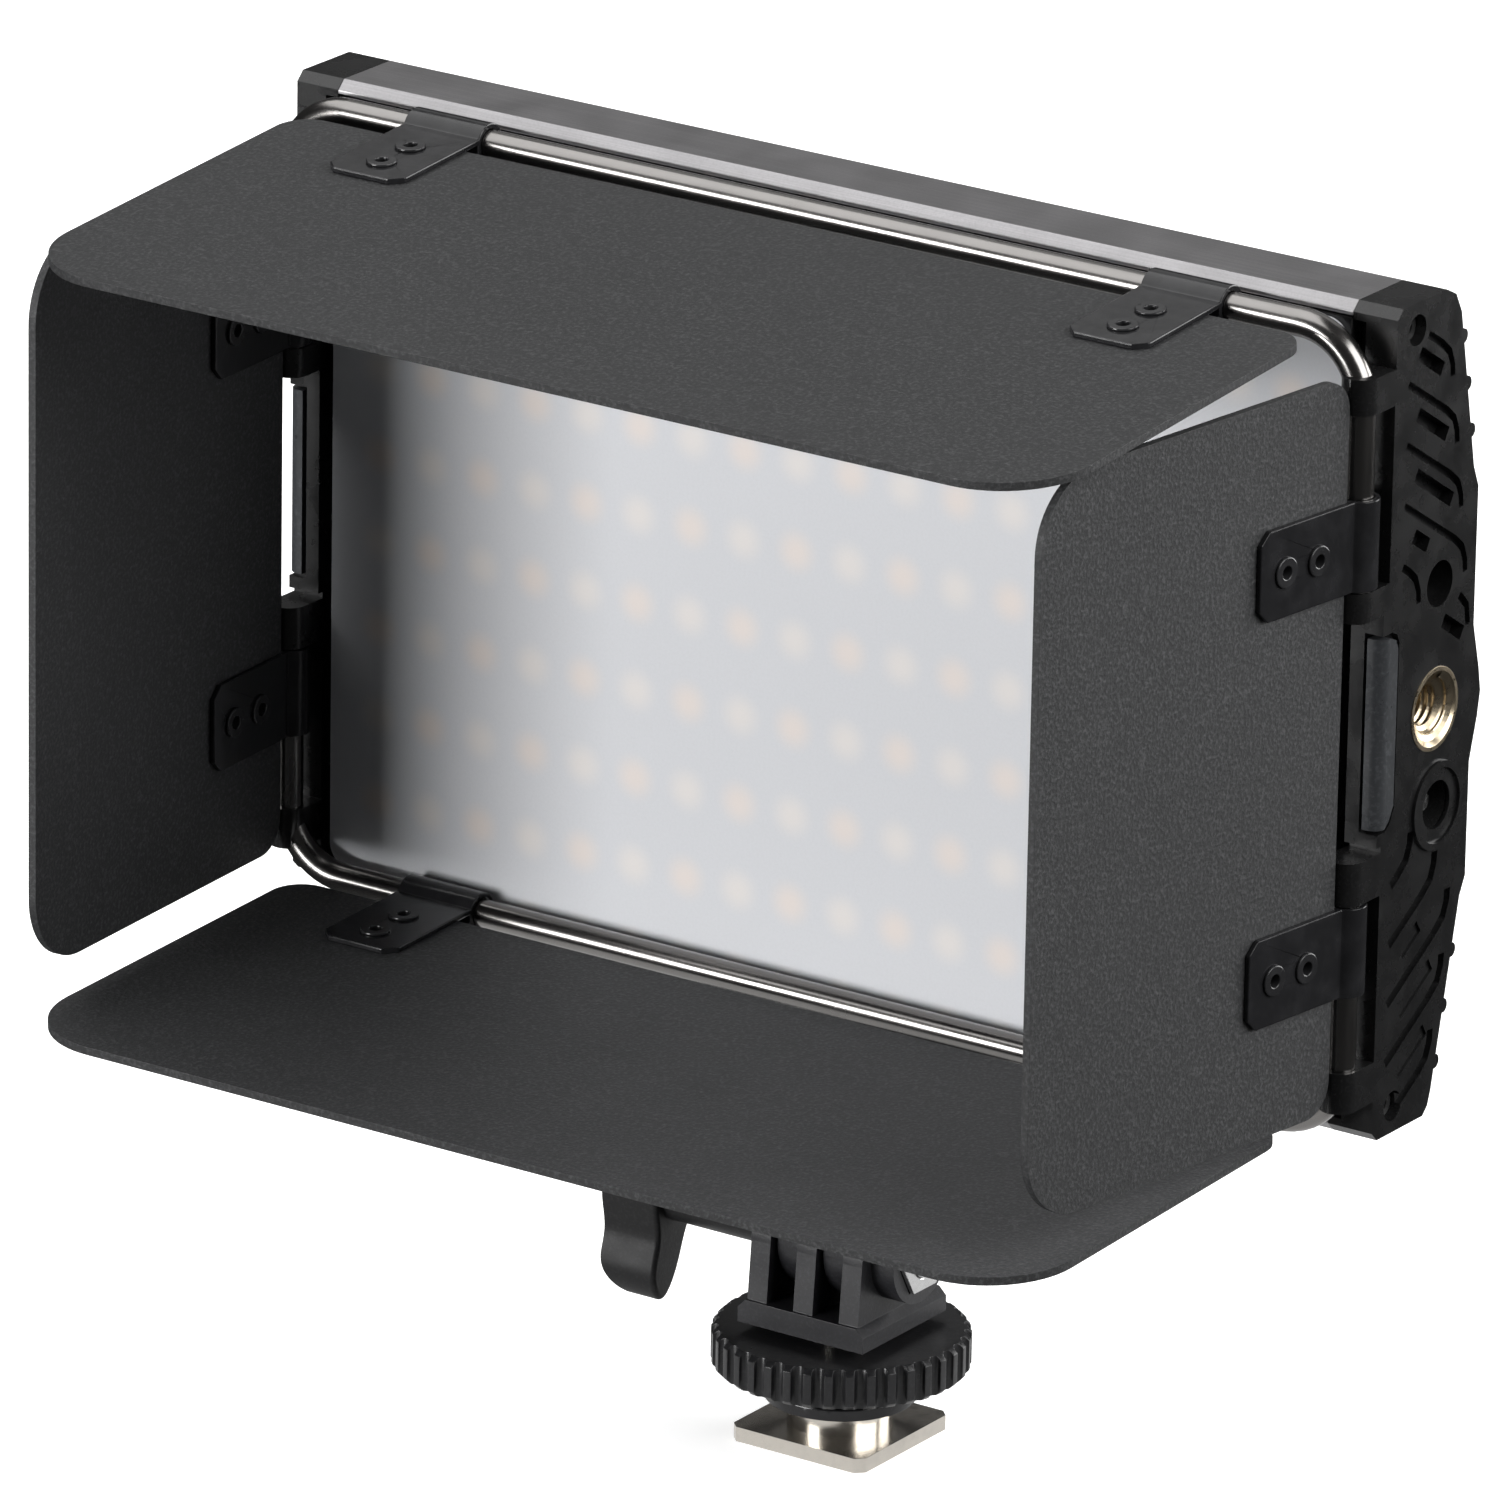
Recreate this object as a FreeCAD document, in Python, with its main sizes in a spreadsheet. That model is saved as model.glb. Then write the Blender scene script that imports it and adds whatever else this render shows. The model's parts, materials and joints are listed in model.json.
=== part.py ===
import FreeCAD, Part
import math
import os

import Sketcher
from FreeCAD import Placement, Rotation, Vector

# A slim LED panel light on a tilting accessory-shoe mount. An extruded aluminium housing between two
# moulded end caps holds the LED board behind a frosted diffuser. Two bent rods frame the diffuser, and
# four barn doors turn on them. The foot slides into a camera's accessory shoe.
#
# Frame: millimetres, +Z up, the diffuser faces -Y, and the origin is the centre of the foot's bottom.

# Driving dimensions. Each becomes a cell of the sheet with this alias.
SIZES = {
    # shoe foot, locking wheel and washer
    "foot_side": 18.6,
    "foot_thick": 1.8,
    "neck_radius": 6.2,
    "neck_top": 6.4,
    "stud_radius": 3.1,
    "stud_top": 16.2,
    "washer_radius": 9.0,
    "washer_thick": 1.4,
    "hub_radius": 8.4,
    "wheel_low": 8.8,
    "wheel_top": 13.7,
    "wheel_radius": 15.2,
    "scallop_count": 38,
    "scallop_radius": 0.75,
    "scallop_depth": 0.9,
    # fork with three fingers, and the clamp screw through it
    "fork_low": 14.7,
    "fork_base": 17.6,
    "fork_wide": 17.5,
    "fork_deep": 17.4,
    "finger_thick": 2.7,
    "finger_pitch": 6.4,
    "finger_radius": 7.6,
    "finger_foot": 8.3,
    "tilt_axis": 24.8,
    "boss_radius": 5.8,
    "boss_end": 10.9,
    "screw_radius": 2.5,
    "nut_flats": 8.0,
    "lever_start": 31.0,
    "lever_end": 23.3,
    "lever_corner": 5.5,
    # tilt bracket
    "prong_thick": 3.1,
    "prong_radius": 6.6,
    "arm_low": 33.2,
    "arm_half": 4.75,
    "plate_half": 21.0,
    "plate_thick": 3.0,
    "plate_front": -5.4,
    "plate_back": 4.4,
    "bracket_screw_x": 15.0,
    "bracket_screw_y": -0.5,
    # housing
    "body_width": 150.0,
    "body_height": 98.0,
    "body_base": 55.3,
    "cap_thick": 5.8,
    "front": -6.0,
    "back": 12.3,
    "wall": 1.6,
    "edge_chamfer": 1.1,
    "rim_low_y": 4.8,
    "rim_top_y": 4.2,
    "bulge_back": 14.2,
    # sloping backs, with heights from the body's bottom edge
    "slope_low_start": 2.8,
    "slope_low_end": 24.6,
    "slope_low_y": 6.4,
    "slope_top_start": 75.6,
    "slope_top_end": 94.6,
    "slope_top_y": 7.5,
    "slope_inner_y": 11.2,
    "flat_low": 26.8,
    "flat_top": 73.0,
    "fin_low": 5.9,
    "fin_top": 80.0,
    "fin_pitch_low": 6.3,
    "fin_pitch_top": 5.8,
    "fin_height": 1.0,
    "fin_thick": 1.4,
    # rod frame
    "rod_radius": 1.7,
    "rod_bend": 8.0,
    "rod_x": 72.9,
    "rod_y": -9.7,
    "rod_inset": 2.2,
    "upper_rod_end": 63.6,
    "lower_rod_end": 34.0,
    "block_inner_x": 70.7,
    "block_front": -12.0,
    "plate_front_y": -7.0,
    # optical stack
    "diffuser_wide": 137.8,
    "diffuser_high": 93.6,
    "diffuser_thick": 1.0,
    "diffuser_corner": 3.0,
    "window_wide": 133.0,
    "window_high": 84.0,
    "bezel_depth": 2.4,
    "reflector_wall": 1.0,
    "board_front": 0.0,
    "board_thick": 1.6,
    "board_wide": 134.6,
    "board_high": 91.0,
    "led_wide": 2.8,
    "led_high": 3.5,
    "led_thick": 0.8,
    "led_columns": 18,
    "led_rows": 8,
    "led_pitch_x": 7.3,
    "led_pitch_z": 10.65,
    "spreader_thick": 1.0,
    # electronics and controls
    "battery_thick": 6.2,
    "control_board_y": 5.6,
    "panel_low": 42.0,
    "panel_high": 72.0,
    "panel_left": 1.0,
    "panel_right": 64.0,
    "panel_thick": 1.8,
    "panel_proud": 0.5,
    "dial_radius": 6.2,
    "dial_high": 4.8,
    "dial_row": 60.0,
    "dimmer_x": 12.0,
    "tone_x": 28.0,
    "shaft_radius": 1.5,
    "button_radius": 2.6,
    "button_row": 47.0,
    "power_x": 43.0,
    "mode_x": 54.0,
    "display_left": 38.0,
    "display_right": 60.0,
    "display_low": 54.0,
    "display_high": 69.0,
    # ports in the right end cap, measured from the body's bottom edge
    "insert_y": 4.4,
    "insert_row": 48.8,
    "insert_radius": 4.9,
    "insert_bore": 2.6,
    "insert_depth": 6.2,
    "insert_lead": 1.6,
    "jack_y": 5.5,
    "jack_row": 37.1,
    "jack_radius": 3.6,
    "jack_bore": 2.85,
    "jack_collar": 5.2,
    "socket_y": 4.7,
    "socket_row": 63.5,
    "socket_radius": 2.7,
    "socket_depth": 3.0,
    "cap_screw_y": -1.8,
    "cap_screw_inset": 3.2,
    "cap_screw_head": 1.5,
    # barn doors, straps and eyelets, measured from the rod's axis
    "side_door_wide": 86.6,
    "side_door_middle": 48.5,
    "side_door_reach": 54.3,
    "side_door_start": 2.6,
    "side_door_corner": 9.0,
    "long_door_wide": 137.8,
    "long_door_reach": 59.5,
    "long_door_start": 4.6,
    "long_door_corner": 11.0,
    "door_thick": 1.0,
    "door_rear_corner": 4.0,
    "strap_wide": 10.6,
    "strap_reach": 18.0,
    "strap_thick": 0.7,
    "barrel_radius": 2.45,
    "running_gap": 0.05,
    "eyelet_near": 8.2,
    "eyelet_far": 13.8,
    "eyelet_radius": 1.25,
    "eyelet_head": 1.8,
    "eyelet_bore": 0.75,
    "long_strap_x": 50.3,
    "side_strap_high": 71.9,
    "side_strap_low": 24.1,
}

# Rest angles of the doors in degrees, each from straight ahead: inward is positive.
DOOR_ANGLES = {"top": 4.1, "bottom": -2.1, "left": 3.5, "right": 7.5}

doc = FreeCAD.newDocument("led_panel_light")
sheet = doc.addObject("Spreadsheet::Sheet", "Sizes")


class Size(float):
    """A number that remembers the sheet expression that it comes from."""

    def __new__(cls, number, text=None):
        made = super().__new__(cls, number)
        made.text = text or repr(float(number))
        return made

    def __add__(self, other):
        return Size(float(self) + float(other), f"({self.text} + {Size.of(other).text})")

    def __radd__(self, other):
        return Size.of(other) + self

    def __sub__(self, other):
        return Size(float(self) - float(other), f"({self.text} - {Size.of(other).text})")

    def __rsub__(self, other):
        return Size.of(other) - self

    def __mul__(self, other):
        return Size(float(self) * float(other), f"({self.text} * {Size.of(other).text})")

    def __rmul__(self, other):
        return Size.of(other) * self

    def __truediv__(self, other):
        return Size(float(self) / float(other), f"({self.text} / {Size.of(other).text})")

    def __neg__(self):
        return Size(-float(self), f"(0 - {self.text})")

    @staticmethod
    def of(number):
        return number if isinstance(number, Size) else Size(number)


class Cells:
    """The sheet's cells as Size attributes: cells.body_width, cells.wall."""


cells = Cells()
for row, (alias, number) in enumerate(SIZES.items(), start=1):
    sheet.set(f"A{row}", alias)
    sheet.set(f"B{row}", str(number))
    sheet.setAlias(f"B{row}", alias)
    setattr(cells, alias, Size(number, f"Sizes.{alias}"))
doc.recompute()

# Planes that many pieces share.
BASE = cells.body_base
TOP = BASE + cells.body_height
CAP_INNER_X = cells.body_width / 2 - cells.cap_thick
MIDDLE = BASE + cells.body_height / 2
ROD_LOW = BASE + cells.rod_inset
ROD_TOP = TOP - cells.rod_inset
FACE_X = cells.body_width / 2
SLIP = 0.02  # radial gap of a fixed pin in its hole
SIDES = (("left", -1), ("right", 1))

parts = {}  # node name: the finished object


# ---- helpers ---------------------------------------------------------------------------------------

def bind(obj, prop, size):
    """Sets a property and binds it to the sheet."""
    obj.setExpression(prop, Size.of(size).text)


def bind_place(obj, x, y, z, rotation=None):
    """Places an object, with its position bound to the sheet."""
    obj.Placement = Placement(Vector(float(x), float(y), float(z)), rotation or Rotation())
    for axis, size in zip("xyz", (x, y, z)):
        bind(obj, f"Placement.Base.{axis}", size)


def box(name, x, y, z):
    """A box between two planes along each axis."""
    made = doc.addObject("Part::Box", name)
    for prop, (low, high) in zip(("Length", "Width", "Height"), (x, y, z)):
        bind(made, prop, Size.of(high) - low)
    bind_place(made, x[0], y[0], z[0])
    return made


TURN_TO = {"X": Rotation(Vector(0, 1, 0), 90), "Y": Rotation(Vector(1, 0, 0), -90), "Z": Rotation()}


def cylinder(name, axis, radius, along, centre):
    """A cylinder along one axis: its two ends, then its centre on the other two axes, in order."""
    made = doc.addObject("Part::Cylinder", name)
    bind(made, "Radius", radius)
    bind(made, "Height", Size.of(along[1]) - along[0])
    place = list(centre)
    place.insert("XYZ".index(axis), along[0])
    bind_place(made, *place, rotation=TURN_TO[axis])
    return made


def fuse(name, *pieces):
    made = doc.addObject("Part::MultiFuse", name)
    made.Shapes = list(pieces)
    made.Refine = True
    return made


def cut(name, base, *tools):
    made = doc.addObject("Part::Cut", name)
    made.Base = base
    made.Tool = tools[0] if len(tools) == 1 else fuse(name + "_tools", *tools)
    made.Refine = True
    return made


def common(name, *pieces):
    made = doc.addObject("Part::MultiCommon", name)
    made.Shapes = list(pieces)
    return made


def mirror_x(name, source):
    """The source's mirror image across the middle plane X = 0."""
    made = doc.addObject("Part::Mirroring", name)
    made.Source = source
    made.Base = Vector(0, 0, 0)
    made.Normal = Vector(1, 0, 0)
    return made


def group(name, pieces):
    """Separate solids that share one node."""
    made = doc.addObject("Part::Compound", name)
    made.Links = list(pieces)
    return made


def code_shape(name, shape):
    """A shape worked out in code, where no primitive or feature makes it."""
    made = doc.addObject("Part::Feature", name)
    made.Shape = shape
    return made


def body_plane(body, role):
    return next(plane for plane in body.Origin.OriginFeatures if plane.Role == role)


def outline_sketch(body, name, plane, points):
    """A closed outline of straight lines whose corners are pinned to the sheet."""
    sketch = body.newObject("Sketcher::SketchObject", name)
    sketch.AttachmentSupport = [(body_plane(body, plane), "")]
    sketch.MapMode = "FlatFace"
    spots = [Vector(float(across), float(up), 0) for across, up in points]
    count = len(spots)
    for corner in range(count):
        sketch.addGeometry(Part.LineSegment(spots[corner], spots[(corner + 1) % count]), False)
    for corner in range(count):
        sketch.addConstraint(Sketcher.Constraint("Coincident", corner, 2, (corner + 1) % count, 1))
    for corner, (across, up) in enumerate(points):
        for kind, size in (("DistanceX", across), ("DistanceY", up)):
            pin = sketch.addConstraint(Sketcher.Constraint(kind, -1, 1, corner, 1, float(size)))
            sketch.setExpression(f"Constraints[{pin}]", Size.of(size).text)
    return sketch


def prism(name, plane, points, start, stop):
    """An outline padded from start to stop along its plane's normal: +X for YZ_Plane, +Z for XY_Plane."""
    body = doc.addObject("PartDesign::Body", name)
    sketch = outline_sketch(body, name + "_outline", plane, points)
    sketch.AttachmentOffset = Placement(Vector(0, 0, float(start)), Rotation())
    bind(sketch, "AttachmentOffset.Base.z", start)
    pad = body.newObject("PartDesign::Pad", name + "_pad")
    pad.Profile = sketch
    bind(pad, "Length", Size.of(stop) - start)
    sketch.Visibility = False
    return body


def round_edges(body, radius, direction, corners):
    """Rounds the straight edges along one axis that stand on the given corners of the other two axes."""
    doc.recompute()
    base = body.Tip
    others = [n for n in range(3) if n != "XYZ".index(direction)]
    chosen = []
    for number, edge in enumerate(base.Shape.Edges, start=1):
        if edge.Curve.TypeId != "Part::GeomLine" or len(edge.Vertexes) < 2:
            continue
        run = edge.Vertexes[1].Point - edge.Vertexes[0].Point
        if any(abs(run[n]) > 1e-6 for n in others):
            continue
        spot = edge.Vertexes[0].Point
        if any(all(abs(spot[n] - float(c)) < 0.01 for n, c in zip(others, corner)) for corner in corners):
            chosen.append(f"Edge{number}")
    if len(chosen) < len(corners):
        raise ValueError(f"{body.Name}: {len(chosen)} edges found for {len(corners)} corners")
    fillet = body.newObject("PartDesign::Fillet", body.Name + f"_round{len(body.Group)}")
    fillet.Base = (base, chosen)
    bind(fillet, "Radius", radius)
    body.Tip = fillet


def node(name, obj):
    """Names a finished sub-part."""
    obj.Label = name
    parts[name] = obj
    return obj


# ---- shoe foot, locking wheel and washer -----------------------------------------------------------

def make_shoe_foot():
    """Plated steel foot: a square plate, a round neck, and the stud that the wheel turns on."""
    half = cells.foot_side / 2
    clip = 1.0
    corners = [
        (-half, -half + clip), (-half + clip, -half), (half - clip, -half), (half, -half + clip),
        (half, half - clip), (half - clip, half), (-half + clip, half), (-half, half - clip),
    ]
    plate = prism("foot_plate", "XY_Plane", corners, 0, cells.foot_thick)
    neck = cylinder("foot_neck", "Z", cells.neck_radius, (cells.foot_thick / 2, cells.neck_top), (0, 0))
    stud = cylinder("foot_stud", "Z", cells.stud_radius, (cells.foot_thick, cells.stud_top), (0, 0))
    node("shoe_foot", fuse("shoe_foot_solid", plate, neck, stud))


def make_clamp_washer():
    low = cells.neck_top - cells.washer_thick
    ring = cylinder("washer_ring", "Z", cells.washer_radius, (low, cells.neck_top), (0, 0))
    hole = cylinder("washer_hole", "Z", cells.neck_radius + 0.08, (low - 1, cells.neck_top + 1), (0, 0))
    node("clamp_washer", cut("clamp_washer_solid", ring, hole))


def make_locking_wheel():
    """Knurled wheel with a hub below it, threaded on the stud and counterbored over the neck."""
    hub_low = cells.neck_top + 0.1
    wheel_body = doc.addObject("PartDesign::Body", "wheel_body")
    rim = cells.wheel_radius
    bevel = 0.6
    bore = cells.stud_radius + cells.running_gap
    profile = [
        (bore, hub_low + 1.6), (cells.neck_radius + 0.3, hub_low + 1.6), (cells.neck_radius + 0.3, hub_low),
        (cells.hub_radius, hub_low), (cells.hub_radius, cells.wheel_low), (rim - bevel, cells.wheel_low),
        (rim, cells.wheel_low + bevel), (rim, cells.wheel_top - bevel), (rim - bevel, cells.wheel_top),
        (bore, cells.wheel_top),
    ]
    sketch = outline_sketch(wheel_body, "wheel_profile", "XZ_Plane", profile)
    turned = wheel_body.newObject("PartDesign::Revolution", "wheel_turned")
    turned.Profile = sketch
    turned.ReferenceAxis = (sketch, ["V_Axis"])
    turned.Angle = 360
    doc.recompute()
    scallop = wheel_body.newObject("Sketcher::SketchObject", "wheel_scallop")
    scallop.AttachmentSupport = [(body_plane(wheel_body, "XY_Plane"), "")]
    scallop.MapMode = "FlatFace"
    radius = cells.scallop_radius
    centre = rim + radius - cells.scallop_depth
    scallop.addGeometry(Part.Circle(Vector(float(centre), 0, 0), Vector(0, 0, 1), float(radius)), False)
    for constraint, size in (
        (Sketcher.Constraint("DistanceX", -1, 1, 0, 3, float(centre)), centre),
        (Sketcher.Constraint("Radius", 0, float(radius)), radius),
    ):
        pin = scallop.addConstraint(constraint)
        scallop.setExpression(f"Constraints[{pin}]", size.text)
    scallop.addConstraint(Sketcher.Constraint("PointOnObject", 0, 3, -1))
    groove = wheel_body.newObject("PartDesign::Pocket", "wheel_groove")
    groove.Profile = scallop
    groove.Type = "ThroughAll"
    groove.Midplane = True
    doc.recompute()
    pattern = wheel_body.newObject("PartDesign::PolarPattern", "wheel_knurl")
    pattern.Originals = [groove]
    pattern.Axis = (next(a for a in wheel_body.Origin.OriginFeatures if a.Role == "Z_Axis"), [""])
    pattern.Angle = 360
    bind(pattern, "Occurrences", cells.scallop_count)
    wheel_body.Tip = pattern
    node("locking_wheel", wheel_body)


# ---- fork, clamp screw and lever -------------------------------------------------------------------

def hexagon(centre_x, centre_y, flats):
    """The corners of a hexagon across the given flats."""
    reach = Size.of(flats) / math.sqrt(3)
    turns = [math.radians(60 * n) for n in range(6)]
    return [(centre_x + reach * math.cos(t), centre_y + reach * math.sin(t)) for t in turns]


def make_fork():
    """The mount's upper half: a bevelled base, three fingers, and a boss that holds the nut."""
    half_x = cells.fork_wide / 2
    half_y = cells.fork_deep / 2
    finger_edge = cells.finger_pitch + cells.finger_thick / 2
    bevel = half_x - finger_edge
    profile = [
        (-half_x, cells.fork_low), (half_x, cells.fork_low), (half_x, cells.fork_base - bevel),
        (finger_edge, cells.fork_base), (-finger_edge, cells.fork_base), (-half_x, cells.fork_base - bevel),
    ]
    base_body = doc.addObject("PartDesign::Body", "fork_base_body")
    sketch = outline_sketch(base_body, "fork_base_outline", "XZ_Plane", profile)
    pad = base_body.newObject("PartDesign::Pad", "fork_base_pad")
    pad.Profile = sketch
    bind(pad, "Length", cells.fork_deep)
    pad.Midplane = True
    pieces = [base_body]
    for place in (-1, 0, 1):
        middle = cells.finger_pitch * place
        x = (middle - cells.finger_thick / 2, middle + cells.finger_thick / 2)
        name = f"finger_{place + 2}"
        reach = cells.finger_radius
        foot = cells.finger_foot
        pieces.append(prism(name, "YZ_Plane", [
            (-foot, cells.fork_base - 1), (foot, cells.fork_base - 1), (reach, cells.tilt_axis),
            (-reach, cells.tilt_axis),
        ], *x))
        pieces.append(cylinder(name + "_top", "X", reach, x, (0, cells.tilt_axis)))
    pieces.append(cylinder("nut_boss", "X", cells.boss_radius, (finger_edge - 1, cells.boss_end),
                           (0, cells.tilt_axis)))
    pocket = prism("nut_pocket", "YZ_Plane", hexagon(Size(0), cells.tilt_axis, cells.nut_flats + 0.2),
                   finger_edge + 0.5, cells.boss_end + 1)
    bore = cylinder("fork_bore", "X", cells.screw_radius + cells.running_gap, (-half_x, half_x),
                    (0, cells.tilt_axis))
    stud_hole = cylinder("fork_stud_hole", "Z", cells.stud_radius + SLIP,
                         (cells.fork_low - 1, cells.stud_top + 0.1), (0, 0))
    node("fork", cut("fork_solid", fuse("fork_blank", *pieces), pocket, bore, stud_hole))

    nut_start = finger_edge + 0.6
    nut = prism("nut_hex", "YZ_Plane", hexagon(Size(0), cells.tilt_axis, cells.nut_flats), nut_start,
                nut_start + 3.2)
    thread = cylinder("nut_thread", "X", cells.screw_radius + cells.running_gap,
                      (nut_start - 1, nut_start + 5), (0, cells.tilt_axis))
    node("clamp_nut", cut("clamp_nut_solid", nut, thread))


def make_clamp_screw():
    """Steel screw through fork and bracket, moulded into the lever that tightens it."""
    axis = (0, cells.tilt_axis)
    finger_edge = cells.finger_pitch + cells.finger_thick / 2
    shaft = cylinder("screw_shaft", "X", cells.screw_radius, (-cells.lever_end - 4, finger_edge + 4.4), axis)
    node("clamp_screw", shaft)

    # The paddle hangs from the axis and leans a little forward, with a hollow for the thumb.
    rim_points = [
        (0, 4.7), (-3.4, 3.2), (-4.6, 0), (-4.0, -5.2), (-4.8, -10.2), (-2.8, -12.8), (-0.7, -11.2),
        (2.0, -5.4), (4.2, -0.6), (3.3, 3.4),
    ]
    curve = Part.BSplineCurve()
    curve.interpolate([Vector(0, y, z) for y, z in rim_points], PeriodicFlag=True)
    face = Part.Face(Part.Wire([curve.toShape()]))
    thick = float(cells.lever_start - cells.lever_end)
    paddle = face.extrude(Vector(thick, 0, 0))
    limits = Part.makeBox(thick, 20, 24, Vector(0, -10, -13.2))
    lower_outer = [edge for edge in limits.Edges if edge.BoundBox.XMax < 0.01 and edge.BoundBox.ZMax < 0]
    paddle = paddle.common(limits.makeFillet(float(cells.lever_corner), lower_outer))
    paddle = paddle.makeFillet(0.6, [edge for edge in paddle.Edges if edge.BoundBox.XMin > thick - 1e-6])
    blank = code_shape("lever_paddle", paddle)
    bind_place(blank, -cells.lever_start, 0, cells.tilt_axis)
    neck = cylinder("lever_neck", "X", 3.4, (-cells.lever_end - 1, -finger_edge - 0.3), axis)
    hole = cylinder("lever_hole", "X", cells.screw_radius + SLIP, (-cells.lever_end - 4.1, 0), axis)
    node("clamp_lever", cut("clamp_lever_solid", fuse("lever_blank", blank, neck), hole))


def make_tilt_bracket():
    """Two prongs between the fork's fingers, an arm, and a plate screwed under the housing."""
    reach = cells.prong_radius
    pieces = []
    for name, side in SIDES:
        middle = cells.finger_pitch / 2 * side
        x = (middle - cells.prong_thick / 2, middle + cells.prong_thick / 2)
        pieces.append(box(f"prong_{name}", x, (-reach, reach), (cells.tilt_axis, cells.arm_low + 1)))
        pieces.append(cylinder(f"prong_{name}_end", "X", reach, x, (0, cells.tilt_axis)))
    half = cells.arm_half
    plate_low = BASE - cells.plate_thick
    pieces.append(box("arm_block", (-half, half), (-reach, reach), (cells.arm_low, cells.arm_low + 5)))
    pieces.append(box("arm_post", (-half, half), (cells.plate_front, cells.plate_back + 0.6),
                      (cells.arm_low, BASE)))
    flare = 9
    web = prism("arm_web", "XZ_Plane", [
        (-half - flare, plate_low + 0.5), (-half, plate_low - flare), (half, plate_low - flare),
        (half + flare, plate_low + 0.5),
    ], 0, 1)
    web.Tip.Midplane = True
    web.Tip.setExpression("Length", None)
    web.Tip.Length = 3.0
    pieces.append(web)
    pieces.append(box("arm_plate", (-cells.plate_half, cells.plate_half),
                      (cells.plate_front, cells.plate_back), (plate_low, BASE)))
    holes = [cylinder("bracket_bore", "X", cells.screw_radius + cells.running_gap, (-20, 20),
                      (0, cells.tilt_axis))]
    screws = []
    for name, side in SIDES:
        spot = (cells.bracket_screw_x * side, cells.bracket_screw_y)
        holes.append(cylinder(f"plate_hole_{name}", "Z", 1.5 + SLIP, (plate_low - 1, BASE + 1), spot))
        holes.append(cylinder(f"plate_sink_{name}", "Z", 2.8 + SLIP, (plate_low - 1, plate_low + 1.6), spot))
        shank = cylinder(f"bracket_shank_{name}", "Z", 1.5, (plate_low + 0.5, BASE + 3.0), spot)
        head = cylinder(f"bracket_head_{name}", "Z", 2.8, (plate_low + 0.1, plate_low + 1.6), spot)
        drive = prism(f"bracket_drive_{name}", "XY_Plane", hexagon(spot[0], spot[1], 2.5), plate_low - 1,
                      plate_low + 1.1)
        screws.append(cut(f"bracket_screw_{name}", fuse(f"bracket_pin_{name}", shank, head), drive))
    node("tilt_bracket", cut("tilt_bracket_solid", fuse("bracket_blank", *pieces), *holes))
    node("bracket_screws", group("bracket_screws_group", screws))


# ---- rod frame -------------------------------------------------------------------------------------

RODS = (
    ("upper_rod", ROD_TOP, BASE + cells.upper_rod_end),
    ("lower_rod", ROD_LOW, BASE + cells.lower_rod_end),
)


def bent_rod(across, end, radius, longer=0.0):
    """A round rod bent twice into a U: a long run at height across, and two legs that end at height end."""
    bend = float(cells.rod_bend)
    side = float(cells.rod_x)
    low = float(across)
    toward = 1 if end > across else -1
    tip = float(end) + toward * longer
    near = low + toward * bend
    kink = bend * (1 - math.sqrt(0.5))

    def spot(x, height):
        return Vector(x, float(cells.rod_y), height)

    path = [
        Part.LineSegment(spot(-side, tip), spot(-side, near)),
        Part.Arc(spot(-side, near), spot(-side + kink, low + toward * kink), spot(-side + bend, low)),
        Part.LineSegment(spot(-side + bend, low), spot(side - bend, low)),
        Part.Arc(spot(side - bend, low), spot(side - kink, low + toward * kink), spot(side, near)),
        Part.LineSegment(spot(side, near), spot(side, tip)),
    ]
    spine = Part.Wire([piece.toShape() for piece in path])
    section = Part.Wire([Part.Edge(Part.Circle(spot(-side, tip), Vector(0, 0, 1), float(radius)))])
    return spine.makePipeShell([section], True, False)


def make_rods():
    for name, across, end in RODS:
        node(name, code_shape(name + "_solid", bent_rod(across, end, cells.rod_radius)))


# ---- housing ---------------------------------------------------------------------------------------

def outer_outline(bulge):
    """The housing's side outline, (Y, Z): flat front, sloping back edges, and a fuller middle if asked."""
    middle = []
    if bulge:
        middle = [
            (cells.back, BASE + 40.4), (cells.bulge_back - 0.5, BASE + 45.4), (cells.bulge_back, BASE + 48.3),
            (cells.bulge_back - 0.5, BASE + 51.2), (cells.back, BASE + 56.6),
        ]
    chamfer = cells.edge_chamfer
    return [
        (cells.front + chamfer, BASE), (cells.rim_low_y, BASE), (cells.rim_low_y + 1.0, BASE + 1.0),
        (cells.slope_low_y, BASE + cells.slope_low_start), (cells.slope_inner_y, BASE + cells.slope_low_end),
        (cells.back, BASE + cells.flat_low), *middle, (cells.back, BASE + cells.flat_top),
        (cells.slope_inner_y, BASE + cells.slope_top_start), (cells.slope_top_y, BASE + cells.slope_top_end),
        (cells.rim_top_y + 2.0, TOP - 1.0), (cells.rim_top_y, TOP),
        (cells.front + chamfer, TOP), (cells.front, TOP - chamfer), (cells.front, BASE + chamfer),
    ]


def slope_line(height):
    """The Y of a sloping back at a height above the housing's bottom edge."""
    if height < cells.slope_low_end:
        foot_y, foot, head_y, head = (cells.slope_low_y, cells.slope_low_start, cells.slope_inner_y,
                                      cells.slope_low_end)
    else:
        foot_y, foot, head_y, head = (cells.slope_inner_y, cells.slope_top_start, cells.slope_top_y,
                                      cells.slope_top_end)
    return foot_y + (head_y - foot_y) * (height - foot) / (head - foot)


def fin_heights():
    """Heights of the cooling fins above the housing's bottom edge: three on each sloping back."""
    rows = [cells.fin_low + cells.fin_pitch_low * number for number in range(3)]
    return rows + [cells.fin_top + cells.fin_pitch_top * number for number in range(3)]


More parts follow.
